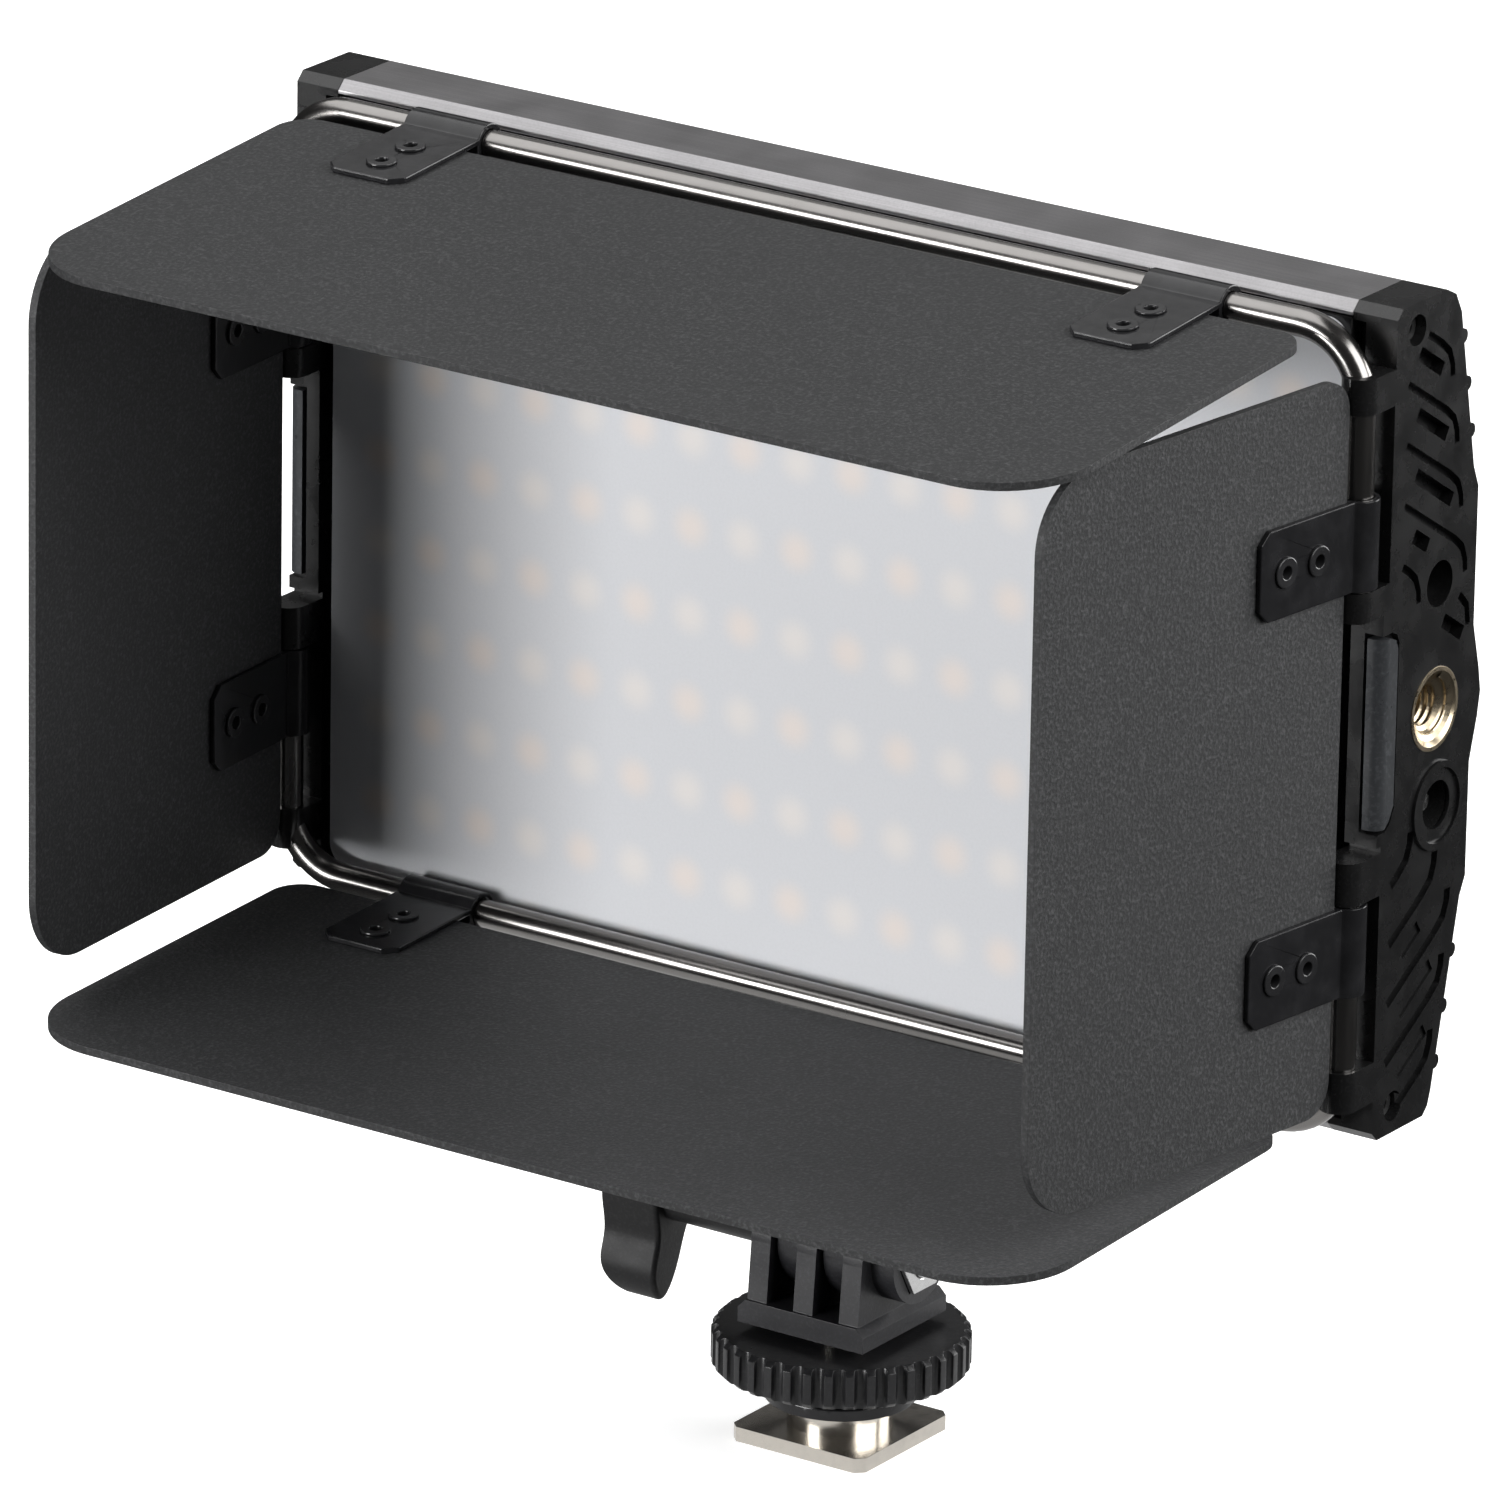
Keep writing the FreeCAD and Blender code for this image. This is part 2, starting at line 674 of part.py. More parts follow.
def make_housing_shell():
    """Aluminium extrusion, open at the front, with cooling fins on its sloping backs."""
    wall = cells.wall
    span = (-CAP_INNER_X, CAP_INNER_X)
    blank = prism("shell_blank", "YZ_Plane", outer_outline(False), *span)
    inset = wall + 0.1
    inner = prism("shell_cavity", "YZ_Plane", [
        (cells.front - 1, BASE + wall), (cells.rim_low_y - 0.4, BASE + wall),
        (cells.slope_low_y - inset, BASE + cells.slope_low_start + 0.6),
        (cells.slope_inner_y - inset, BASE + cells.slope_low_end + 0.6),
        (cells.back - wall, BASE + cells.flat_low + 0.6), (cells.back - wall, BASE + cells.flat_top - 0.6),
        (cells.slope_inner_y - inset, BASE + cells.slope_top_start - 0.6),
        (cells.slope_top_y - inset, BASE + cells.slope_top_end - 0.6), (cells.rim_top_y - 0.4, TOP - wall),
        (cells.front - 1, TOP - wall),
    ], -CAP_INNER_X - 1, CAP_INNER_X + 1)
    fins = []
    half_fin = cells.fin_thick / 2
    for number, height in enumerate(fin_heights()):
        surface = slope_line(height)
        fins.append(box(f"fin_{number}", span, (surface - 0.8, surface + cells.fin_height),
                        (BASE + height - half_fin, BASE + height + half_fin)))
    opening = box("panel_opening", (cells.panel_left, cells.panel_right), (cells.back - 3, cells.back + 3),
                  (BASE + cells.panel_low, BASE + cells.panel_high))
    hollow = cut("shell_hollow", blank, inner)
    bosses = []
    screw_holes = []
    for name, side in SIDES:
        spot = (cells.bracket_screw_x * side, cells.bracket_screw_y)
        bosses.append(cylinder(f"shell_boss_{name}", "Z", 2.8, (BASE + wall / 2, BASE + 3.2), spot))
        screw_holes.append(cylinder(f"shell_hole_{name}", "Z", 1.5 + SLIP, (BASE - 1, BASE + 5), spot))
    whole = fuse("shell_whole", hollow, *fins, *bosses)
    node("housing_shell", cut("housing_shell_solid", whole, opening, *screw_holes))


def stroke(points, width):
    """A flat band of the given width along a run of (Y, Z) points, with round joints, in the plane X = 0."""
    faces = []
    for (y1, z1), (y2, z2) in zip(points, points[1:]):
        length = math.hypot(y2 - y1, z2 - z1)
        side_y = -(z2 - z1) / length * width / 2
        side_z = (y2 - y1) / length * width / 2
        corners = [(y1 + side_y, z1 + side_z), (y2 + side_y, z2 + side_z), (y2 - side_y, z2 - side_z),
                   (y1 - side_y, z1 - side_z)]
        spots = [Vector(0, y, z) for y, z in corners]
        faces.append(Part.Face(Part.makePolygon(spots + spots[:1])))
    for y, z in points[1:-1]:
        joint = Part.Edge(Part.Circle(Vector(0, y, z), Vector(1, 0, 0), width / 2))
        faces.append(Part.Face(Part.Wire([joint])))
    whole = faces[0].fuse(faces[1:]) if len(faces) > 1 else faces[0]
    return whole.removeSplitter()


def hooked_groove(start_y, start_z, reach, turn):
    """A groove's run (Y, Z): straight and slanting, then bent round at its reach. turn is 1 up or -1 down."""
    straight = reach - 2.4
    bend_z = start_z + turn * 0.61 * (straight - start_y)
    return [
        (start_y, start_z), (straight, bend_z), (reach - 0.8, bend_z + turn * 1.3),
        (reach - 0.1, bend_z + turn * 3.0), (reach, bend_z + turn * 4.4),
    ]


def cap_relief():
    """The moulded pattern on a cap's side: hooked grooves that slant down above and up below, with slots."""
    pitch = 7.1
    face = float(FACE_X)
    base = float(BASE)
    start = -3.3
    fine = (0.95, 0.9)  # width and depth
    broad = (1.25, 0.8)
    slot = (1.7, 1.6)
    shallow = (1.7, 0.35)
    tools = [(hooked_groove(0.6, base + 93.7, 6.0, -1), fine)]
    for step, reach in enumerate((7.4, 8.7, 10.0, 0.3)):
        tools.append((hooked_groove(start, base + 88.8 - pitch * step, reach, -1), fine))
    for step, reach in enumerate((0.2, 5.5, 8.5, 7.7)):
        tools.append((hooked_groove(start - 0.4, base + 30.1 - pitch * step, reach, 1), broad))
    tools.append((hooked_groove(-0.4, base + 3.4, 5.8, 1), broad))
    for step, reach in enumerate((3.8, 5.2, 6.7, 1.9)):
        high = base + 91.9 - pitch * step
        tools.append(([(-1.1, high), (reach, high - 0.62 * (reach + 1.1))], slot))
    for step, reach in enumerate((2.6, 5.4, 4.6)):
        low = base + 21.2 - pitch * step
        tools.append(([(-1.1, low), (reach, low + 0.62 * (reach + 1.1))], shallow))
    tools.append(([(5.7, base + 58.9), (9.8, base + 56.3)], slot))
    tools.append(([(9.0, base + 61.0), (10.6, base + 59.4), (11.0, base + 57.0)], fine))
    solids = []
    for points, (width, depth) in tools:
        band = stroke(points, width)
        band.translate(Vector(face - depth, 0, 0))
        solids.append(band.extrude(Vector(depth + 1, 0, 0)))
    return Part.makeCompound(solids)


def pad_outline(grow):
    """A side pad's section (X, Y), wrapped round the cap's front corner, or its recess, larger by grow."""
    left = FACE_X - 1.9 - grow
    right = FACE_X + 0.2 + grow * 2
    front = cells.plate_front_y - 0.2 - grow * 2
    rear = grow - 4.0
    slant = 10.0 / 9.0  # of the pad's inner face, Y for each X
    return [
        (left, front), (right, front), (right, rear), (FACE_X - 1.0 + grow / slant, rear),
        (left, -5.0 - grow * slant),
    ]


def pad_profile(grow):
    """The pad's outline (Y, Z) seen from the side, cut back at its rear corners."""
    low = BASE + 37.4 - grow
    high = BASE + 59.9 + grow
    front = cells.plate_front_y - 1 - grow
    rear = grow - 4.0
    return [
        (front, low), (rear - 1.8, low), (rear - 0.9, low + 0.7), (rear, low + 2.4), (rear, high - 1.6),
        (rear - 0.5, high - 0.5), (rear - 1.6, high), (front, high),
    ]


ROD_BLOCKS = (("top", 87.1, 91.3), ("upper", 62.9, 66.4), ("lower", 29.6, 34.7), ("bottom", 4.9, 9.7))
CAP_SCREWS = (("top", TOP - cells.cap_screw_inset), ("low", BASE + cells.cap_screw_inset))


def make_end_caps():
    """Moulded end caps: blocks that hold the rods, a recess for the pad, and the ports on the right."""
    inner = CAP_INNER_X
    blank = prism("cap_blank", "YZ_Plane", outer_outline(True), inner, FACE_X)
    blocks = []
    inner_x = cells.block_inner_x
    for name, low, high in ROD_BLOCKS:
        corners = [(inner_x, cells.block_front), (FACE_X, cells.block_front)]
        block = prism(f"block_{name}", "XY_Plane", [
            (inner_x, cells.front + 0.5), *corners, (FACE_X, cells.front + 0.5),
        ], BASE + low, BASE + high)
        round_edges(block, (FACE_X - inner_x) / 2 - 0.05, "Z", corners)
        blocks.append(block)
    blocks.append(box("block_tab", (inner_x - 1.2, inner_x + 0.5), (-7.9, cells.front + 0.5),
                      (BASE + 89.5, BASE + 91.3)))
    blocks.append(box("cap_plate", (inner_x + 0.1, FACE_X), (cells.plate_front_y, cells.front + 0.5),
                      (BASE + 35.4, BASE + 63.0)))
    for number, height in enumerate(fin_heights()):
        place = (slope_line(height), BASE + height)
        blocks.append(cylinder(f"cap_nub_{number}", "X", 0.85, (inner, FACE_X), place))
    joint_groove = box("joint_groove", (inner - 1, inner + 1.7), (cells.front - 1, cells.front + 2),
                       (BASE + 2, TOP - 2))
    section = prism("pad_recess_section", "XY_Plane", pad_outline(0.5), BASE + 30, BASE + 70)
    profile = prism("pad_recess_profile", "YZ_Plane", pad_profile(0.5), FACE_X - 4, FACE_X + 2)
    pad_recess = common("pad_recess", section, profile)
    seats = [code_shape(name + "_seat", bent_rod(across, end, cells.rod_radius + SLIP, 0.1))
             for name, across, end in RODS]
    relief = code_shape("cap_relief", cap_relief())
    screw_holes = []
    for name, height in CAP_SCREWS:
        place = (cells.cap_screw_y, height)
        screw_holes.append(cylinder(f"cap_sink_{name}", "X", cells.cap_screw_head + 0.3,
                                    (FACE_X - 2.4, FACE_X + 1), place))
        screw_holes.append(cylinder(f"cap_hole_{name}", "X", 0.9 + SLIP, (inner - 1, FACE_X), place))
    grooved = cut("cap_grooved", blank, joint_groove)
    plain_cap = cut("cap_plain", fuse("cap_with_blocks", grooved, *blocks), relief, pad_recess, *seats,
                    *screw_holes)
    node("end_cap_left", mirror_x("end_cap_left_solid", plain_cap))

    port = (cells.jack_y, BASE + cells.jack_row)
    collar = cylinder("jack_collar_ring", "X", cells.jack_collar, (FACE_X - 1, FACE_X + 0.4), port)
    collar_bore = cylinder("jack_collar_bore", "X", cells.jack_collar - 0.8, (FACE_X, FACE_X + 1), port)
    ports = [
        collar_bore,
        cylinder("jack_hole", "X", cells.jack_radius + SLIP, (inner - 1, FACE_X - 0.5), port),
        cylinder("jack_mouth", "X", cells.jack_bore, (inner, FACE_X + 1), port),
        cylinder("insert_hole", "X", cells.insert_radius + SLIP, (inner - 1, FACE_X + 1),
                 (cells.insert_y, BASE + cells.insert_row)),
        cylinder("socket_hole", "X", cells.socket_radius, (FACE_X - cells.socket_depth, FACE_X + 1),
                 (cells.socket_y, BASE + cells.socket_row)),
    ]
    node("end_cap_right", cut("end_cap_right_solid", fuse("cap_right_blank", plain_cap, collar), *ports))

    screws = []
    for name, height in CAP_SCREWS:
        place = (cells.cap_screw_y, height)
        head = cylinder(f"cap_head_{name}", "X", cells.cap_screw_head, (FACE_X - 2.4, FACE_X - 1.2), place)
        shank = cylinder(f"cap_shank_{name}", "X", 0.9, (inner + 0.2, FACE_X - 2), place)
        drive = prism(f"cap_drive_{name}", "YZ_Plane", hexagon(place[0], place[1], 1.3), FACE_X - 1.9, FACE_X)
        screw = cut(f"cap_screw_{name}", fuse(f"cap_pin_{name}", head, shank), drive)
        screws += [screw, mirror_x(f"cap_screw_{name}_left", screw)]
    node("cap_screws", group("cap_screws_group", screws))


def make_side_pads():
    """Smooth slabs let into the outer front corner of each cap."""
    section = prism("side_pad_section", "XY_Plane", pad_outline(0), BASE + 30, BASE + 70)
    round_edges(section, 1.4, "Z", [pad_outline(0)[1]])
    profile = prism("side_pad_profile", "YZ_Plane", pad_profile(0), FACE_X - 4, FACE_X + 2)
    pad = common("side_pad_solid", section, profile)
    node("side_pad_right", pad)
    node("side_pad_left", mirror_x("side_pad_left_solid", pad))


def make_port_pieces():
    """The threaded insert and the power inlet in the right cap."""
    place = (cells.insert_y, BASE + cells.insert_row)
    mouth = FACE_X + 0.1
    bottom = FACE_X - cells.insert_depth
    sleeve = cylinder("insert_sleeve", "X", cells.insert_radius, (bottom - 0.6, mouth), place)
    bore = cylinder("insert_bore_hole", "X", cells.insert_bore, (bottom, FACE_X + 1), place)
    lead = doc.addObject("Part::Cone", "insert_lead")
    bind(lead, "Radius1", cells.insert_bore)
    bind(lead, "Radius2", cells.insert_radius - 0.5)
    bind(lead, "Height", cells.insert_lead)
    bind_place(lead, mouth - cells.insert_lead, place[0], place[1], rotation=TURN_TO["X"])
    node("thread_insert", cut("thread_insert_solid", sleeve, bore, lead))

    port = (cells.jack_y, BASE + cells.jack_row)
    start = CAP_INNER_X - 4.6
    barrel = cylinder("jack_barrel", "X", cells.jack_radius, (start, FACE_X - 0.6), port)
    hollow = cylinder("jack_hollow", "X", cells.jack_bore, (start + 1.6, FACE_X), port)
    node("dc_jack", cut("dc_jack_solid", barrel, hollow))
    node("jack_pin", cylinder("jack_pin_solid", "X", 1.0, (start + 1.6, FACE_X - 1.6), port))


# ---- optical stack ---------------------------------------------------------------------------------

def make_diffuser():
    half_x = cells.diffuser_wide / 2
    half_z = cells.diffuser_high / 2
    low = MIDDLE - half_z
    high = MIDDLE + half_z
    body = doc.addObject("PartDesign::Body", "diffuser_body")
    sketch = outline_sketch(body, "diffuser_outline", "XZ_Plane",
                            [(-half_x, low), (half_x, low), (half_x, high), (-half_x, high)])
    sketch.AttachmentOffset = Placement(Vector(0, 0, -float(cells.front)), Rotation())
    bind(sketch, "AttachmentOffset.Base.z", -cells.front)
    pad = body.newObject("PartDesign::Pad", "diffuser_pad")
    pad.Profile = sketch
    bind(pad, "Length", cells.diffuser_thick)
    round_edges(body, cells.diffuser_corner, "Y",
                [(-half_x, low), (half_x, low), (half_x, high), (-half_x, high)])
    node("diffuser", body)


def ring_frame(name, wide, high, window_wide, window_high, y):
    """A rectangular frame about the housing's middle."""
    outer = box(name + "_outer", (-wide / 2, wide / 2), y, (MIDDLE - high / 2, MIDDLE + high / 2))
    inner = box(name + "_window", (-window_wide / 2, window_wide / 2), (y[0] - 1, y[1] + 1),
                (MIDDLE - window_high / 2, MIDDLE + window_high / 2))
    return cut(name + "_solid", outer, inner)


def make_optics():
    """Bezel, white light well, LED board with two colours of LED, and the heat spreader behind it."""
    bezel_back = cells.front + cells.bezel_depth
    node("bezel", ring_frame("bezel", 2 * CAP_INNER_X - 0.2, cells.body_height - 2 * cells.wall - 0.3,
                             cells.window_wide, cells.window_high, (cells.front, bezel_back)))
    well_wide = cells.window_wide + 0.6
    well_high = cells.window_high + 0.6
    walls = 2 * cells.reflector_wall
    node("reflector_frame", ring_frame("reflector", well_wide, well_high, well_wide - walls,
                                       well_high - walls, (bezel_back, cells.board_front)))
    board_back = cells.board_front + cells.board_thick
    node("led_board", box("led_board_solid", (-cells.board_wide / 2, cells.board_wide / 2),
                          (cells.board_front, board_back),
                          (MIDDLE - cells.board_high / 2, MIDDLE + cells.board_high / 2)))
    spreader_front = board_back + 0.1
    node("heat_spreader", box("heat_spreader_solid", (-64.0, 63.0),
                              (spreader_front, spreader_front + cells.spreader_thick), (BASE + 8, BASE + 90)))
    chips = {"leds_warm": [], "leds_cool": []}
    columns = int(cells.led_columns)
    rows = int(cells.led_rows)
    wide, thick, high = float(cells.led_wide), float(cells.led_thick), float(cells.led_high)
    for column in range(columns):
        for line in range(rows):
            x = (column - (columns - 1) / 2) * float(cells.led_pitch_x)
            z = float(MIDDLE) + (line - (rows - 1) / 2) * float(cells.led_pitch_z)
            low = Vector(x - wide / 2, float(cells.board_front) - thick, z - high / 2)
            chip = Part.makeBox(wide, thick, high, low)
            chips["leds_warm" if (column + line) % 2 else "leds_cool"].append(chip)
    for name, boxes in chips.items():
        node(name, code_shape(name + "_group", Part.makeCompound(boxes)))


# ---- electronics and rear controls -----------------------------------------------------------------

DIALS = (("dimmer", cells.dimmer_x), ("tone", cells.tone_x))
BUTTONS = (("power", cells.power_x), ("mode", cells.mode_x))


def make_electronics():
    """Battery, control board with the dials' encoders, and the display behind its window."""
    spreader_back = cells.board_front + cells.board_thick + 0.1 + cells.spreader_thick
    cell_front = spreader_back + 0.3
    cell_back = cell_front + cells.battery_thick
    low = BASE + 32
    high = BASE + 72
    corners = [(cell_front, low), (cell_back, low), (cell_back, high), (cell_front, high)]
    body = prism("battery_body", "YZ_Plane", corners, -64.0, -6.0)
    round_edges(body, 1.5, "X", corners)
    node("battery_pack", body)

    board = (cells.control_board_y - 1.2, cells.control_board_y)
    node("control_board", box("control_board_solid", (2.0, 62.0), board, (BASE + 38, BASE + 73)))
    encoders = []
    for name, x in DIALS:
        case = box(f"encoder_{name}_case", (x - 4, x + 4),
                   (cells.control_board_y, cells.control_board_y + 3.2),
                   (BASE + cells.dial_row - 4, BASE + cells.dial_row + 4))
        hole = cylinder(f"encoder_{name}_hole", "Y", cells.shaft_radius + cells.running_gap,
                        (cells.control_board_y + 0.6, cells.control_board_y + 5), (x, BASE + cells.dial_row))
        encoders.append(cut(f"encoder_{name}", case, hole))
    node("dial_encoders", group("dial_encoders_group", encoders))
    node("display_module", box("display_module_solid", (cells.display_left - 1, cells.display_right + 1),
                               (cells.control_board_y + 0.4, cells.control_board_y + 4),
                               (BASE + cells.display_low - 1, BASE + cells.display_high + 1)))


def make_rear_panel():
    """Black panel let into the housing's back, with holes for the dials, buttons and display window."""
    face = cells.back + cells.panel_proud
    gap = 0.05
    blank = box("rear_panel_blank", (cells.panel_left + gap, cells.panel_right - gap),
                (face - cells.panel_thick, face),
                (BASE + cells.panel_low + gap, BASE + cells.panel_high - gap))
    holes = []
    for name, x in DIALS:
        holes.append(cylinder(f"panel_hole_{name}", "Y", cells.shaft_radius + cells.running_gap,
                              (face - 5, face + 1), (x, BASE + cells.dial_row)))
    for name, x in BUTTONS:
        holes.append(cylinder(f"panel_hole_{name}", "Y", cells.button_radius + 0.1, (face - 5, face + 1),
                              (x, BASE + cells.button_row)))
    window = (cells.display_left, cells.display_right)
    tall = (BASE + cells.display_low, BASE + cells.display_high)
    holes.append(box("panel_window_seat", window, (face - 1.0, face + 1), tall))
    holes.append(box("panel_window_sight", (window[0] + 1, window[1] - 1), (face - 5, face + 1),
                     (tall[0] + 1, tall[1] - 1)))
    node("rear_panel", cut("rear_panel_solid", blank, *holes))
    node("display_window", box("display_window_solid", (window[0] + gap, window[1] - gap),
                               (face - 1.0, face + 0.05), (tall[0] + gap, tall[1] - gap)))


def make_dial(name, x):
    """A knurled dial with its shaft, which ends inside the encoder."""
    face = cells.back + cells.panel_proud
    start = face + 0.3
    row = BASE + cells.dial_row
    radius = cells.dial_radius
    knob = cylinder(name + "_knob", "Y", radius, (start, start + cells.dial_high - 0.6), (x, row))
    crown = doc.addObject("Part::Cone", name + "_crown")
    bind(crown, "Radius1", radius)
    bind(crown, "Radius2", radius - 0.6)
    crown.Height = 0.6
    bind_place(crown, x, start + cells.dial_high - 0.6, row, rotation=TURN_TO["Y"])
    shaft = cylinder(name + "_shaft", "Y", cells.shaft_radius, (cells.control_board_y + 0.8, start + 1),
                     (x, row))
    flutes = []
    count = 24
    for number in range(count):
        turn = 2 * math.pi * number / count
        centre = Vector(float(x) + float(radius) * math.cos(turn), float(start) - 1,
                        float(row) + float(radius) * math.sin(turn))
        flutes.append(Part.makeCylinder(0.35, float(cells.dial_high) + 2, centre, Vector(0, 1, 0)))
    mark = Vector(float(x) - 0.35, float(start + cells.dial_high) - 0.4, float(row) + 2.4)
    flutes.append(Part.makeBox(0.7, 0.5, 2.6, mark))
    grip = code_shape(name + "_flutes", Part.makeCompound(flutes))
    node(name, cut(name + "_solid", fuse(name + "_blank", knob, crown, shaft), grip))


def make_button(name, x):
    """A round push button, held behind the panel by its flange."""
    face = cells.back + cells.panel_proud
    row = BASE + cells.button_row
    inside = face - cells.panel_thick
    cap = cylinder(name + "_cap", "Y", cells.button_radius, (inside - 1.2, face + 0.9), (x, row))
    flange = cylinder(name + "_flange", "Y", cells.button_radius + 0.7,
                      (inside - 1.2, inside - 0.3), (x, row))
    node(name, fuse(name + "_solid", cap, flange))


# ---- barn doors ------------------------------------------------------------------------------------

# A door is built flat, with the rod's axis along X through the origin and the sheet reaching towards -Y
# with its outer face up. Then it is turned to its side of the frame and to its rest angle.

def door_place(side):
    """Where a door's own frame stands: on its rod, turned inward by its rest angle."""
    angle = DOOR_ANGLES[side]
    if side in ("top", "bottom"):
        up = side == "top"
        base = Rotation() if up else Rotation(Vector(0, 1, 0), 180)
        tilt = Rotation(Vector(1, 0, 0), angle if up else -angle)
        return (Size(0), cells.rod_y, ROD_TOP if up else ROD_LOW), tilt.multiply(base)
    right = side == "right"
    base = Rotation(Vector(0, 1, 0), 90 if right else -90)
    swing = Rotation(Vector(0, 0, 1), -angle if right else angle)
    hinge = (cells.rod_x if right else -cells.rod_x, cells.rod_y, BASE + cells.side_door_middle)
    return hinge, swing.multiply(base)


def make_door(side):
    long_side = side in ("top", "bottom")
    half = (cells.long_door_wide if long_side else cells.side_door_wide) / 2
    reach = cells.long_door_reach if long_side else cells.side_door_reach
    if long_side:
        strap_at = [-cells.long_strap_x, cells.long_strap_x]
    else:
        # On the right side the door's own X runs downwards, and on the left upwards.
        down = -1 if side == "right" else 1
        middle = cells.side_door_middle
        strap_at = [(cells.side_strap_high - middle) * down, (cells.side_strap_low - middle) * down]
    place, rotation = door_place(side)
    thick = cells.door_thick
    start = cells.long_door_start if long_side else cells.side_door_start
    front_corner = cells.long_door_corner if long_side else cells.side_door_corner

    sheet_corners = [(-half, -reach), (half, -reach), (half, -start), (-half, -start)]
    blank = prism(f"sheet_{side}", "XY_Plane", sheet_corners, -thick / 2, thick / 2)
    round_edges(blank, front_corner, "Z", sheet_corners[:2])
    round_edges(blank, cells.door_rear_corner, "Z", sheet_corners[2:])
    holes = []
    eyelets = []
    straps = []
    outer = thick / 2 + cells.strap_thick
    for number, middle in enumerate(strap_at):
        mark = f"{side}_{number}"
        x = (middle - cells.strap_wide / 2, middle + cells.strap_wide / 2)
        barrel = cylinder(f"barrel_{mark}", "X", cells.barrel_radius, x, (0, 0))
        leaf_corners = [
            (x[0], -cells.strap_reach + 1.5), (x[0] + 1.5, -cells.strap_reach),
            (x[1] - 1.5, -cells.strap_reach), (x[1], -cells.strap_reach + 1.5), (x[1], -1.9), (x[0], -1.9),
        ]
        upper = prism(f"leaf_upper_{mark}", "XY_Plane", leaf_corners, thick / 2, outer)
        lower = prism(f"leaf_lower_{mark}", "XY_Plane", leaf_corners, -outer, -thick / 2)
        cuts = [cylinder(f"barrel_bore_{mark}", "X", cells.rod_radius + cells.running_gap,
                         (x[0] - 1, x[1] + 1), (0, 0))]
        for row, distance in enumerate((cells.eyelet_near, cells.eyelet_far)):
            spot = (middle, -distance)
            name = f"{mark}_{row}"
            cuts.append(cylinder(f"leaf_hole_{name}", "Z", cells.eyelet_radius + SLIP, (-3, 3), spot))
            holes.append(cylinder(f"sheet_hole_{name}", "Z", cells.eyelet_radius + SLIP, (-3, 3), spot))
            lip = outer + 0.35
            tube = cylinder(f"eyelet_tube_{name}", "Z", cells.eyelet_radius, (0.05 - lip, lip - 0.05), spot)
            flange_up = cylinder(f"eyelet_up_{name}", "Z", cells.eyelet_head, (outer, lip), spot)
            flange_down = cylinder(f"eyelet_down_{name}", "Z", cells.eyelet_head, (-lip, -outer), spot)
            blank_eyelet = fuse(f"eyelet_blank_{name}", tube, flange_up, flange_down)
            bore = cylinder(f"eyelet_bore_{name}", "Z", cells.eyelet_bore, (-4, 4), spot)
            eyelets.append(cut(f"eyelet_{name}", blank_eyelet, bore))
        straps.append(cut(f"strap_{mark}", fuse(f"strap_blank_{mark}", barrel, upper, lower), *cuts))
    for name, obj in (
        (f"door_{side}", cut(f"door_{side}_solid", blank, *holes)),
        (f"straps_{side}", group(f"straps_{side}_group", straps)),
        (f"rivets_{side}", group(f"rivets_{side}_group", eyelets)),
    ):
        bind_place(obj, *place, rotation=rotation)
        node(name, obj)


# ---- build, test and write -------------------------------------------------------------------------

make_shoe_foot()
make_clamp_washer()
make_locking_wheel()
make_fork()
make_clamp_screw()
make_tilt_bracket()
make_housing_shell()
make_end_caps()
make_side_pads()
make_port_pieces()
make_rods()
make_diffuser()
make_optics()
make_electronics()
make_rear_panel()
for dial, dial_x in DIALS:
    make_dial(dial + "_dial", dial_x)
for button, button_x in BUTTONS:
    make_button(button + "_button", button_x)
for door_side in DOOR_ANGLES:
    make_door(door_side)

doc.recompute()
failed = [obj.Name for obj in doc.Objects if "Invalid" in obj.State or "Error" in obj.State]
if failed:
    raise RuntimeError(f"objects that failed: {failed}")
for name, obj in parts.items():
    if obj.Shape.isNull() or not obj.Shape.isValid():
        raise RuntimeError(f"{name} has no valid shape")

os.makedirs("parts", exist_ok=True)
for name, obj in parts.items():
    obj.Shape.exportStep(os.path.join("parts", name + ".step"))
    print(f"{name}: {len(obj.Shape.Solids)} solids, {obj.Shape.Volume:.1f} mm3")
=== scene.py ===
import json
import math

import bmesh
import bpy
from mathutils import Matrix, Vector


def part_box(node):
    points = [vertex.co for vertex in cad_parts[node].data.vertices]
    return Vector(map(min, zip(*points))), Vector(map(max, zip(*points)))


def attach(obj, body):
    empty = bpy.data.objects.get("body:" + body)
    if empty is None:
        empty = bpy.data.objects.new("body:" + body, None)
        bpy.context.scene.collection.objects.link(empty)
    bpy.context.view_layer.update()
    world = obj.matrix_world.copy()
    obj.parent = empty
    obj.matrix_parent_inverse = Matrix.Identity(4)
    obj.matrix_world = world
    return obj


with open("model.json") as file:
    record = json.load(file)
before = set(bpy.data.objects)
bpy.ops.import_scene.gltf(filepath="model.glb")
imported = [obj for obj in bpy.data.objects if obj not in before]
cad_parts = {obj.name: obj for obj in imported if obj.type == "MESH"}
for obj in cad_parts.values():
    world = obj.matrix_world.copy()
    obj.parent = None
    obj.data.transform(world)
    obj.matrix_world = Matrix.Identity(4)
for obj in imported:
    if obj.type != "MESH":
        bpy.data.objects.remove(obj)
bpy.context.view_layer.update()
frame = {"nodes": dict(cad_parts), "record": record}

# Looks for an LED panel light with barn doors on an accessory-shoe mount. Every shown shape is a CAD
# node with a node material, apart from the insert's thread, which is built here. The nodes named in
# EDGE_ROUND also get small rounded edges.

MM = 0.001
NODES = frame["nodes"]
shell_low, shell_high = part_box("housing_shell")
FRONT_Y = shell_low.y
BASE_Z = shell_low.z
diffuser_low, diffuser_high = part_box("diffuser")

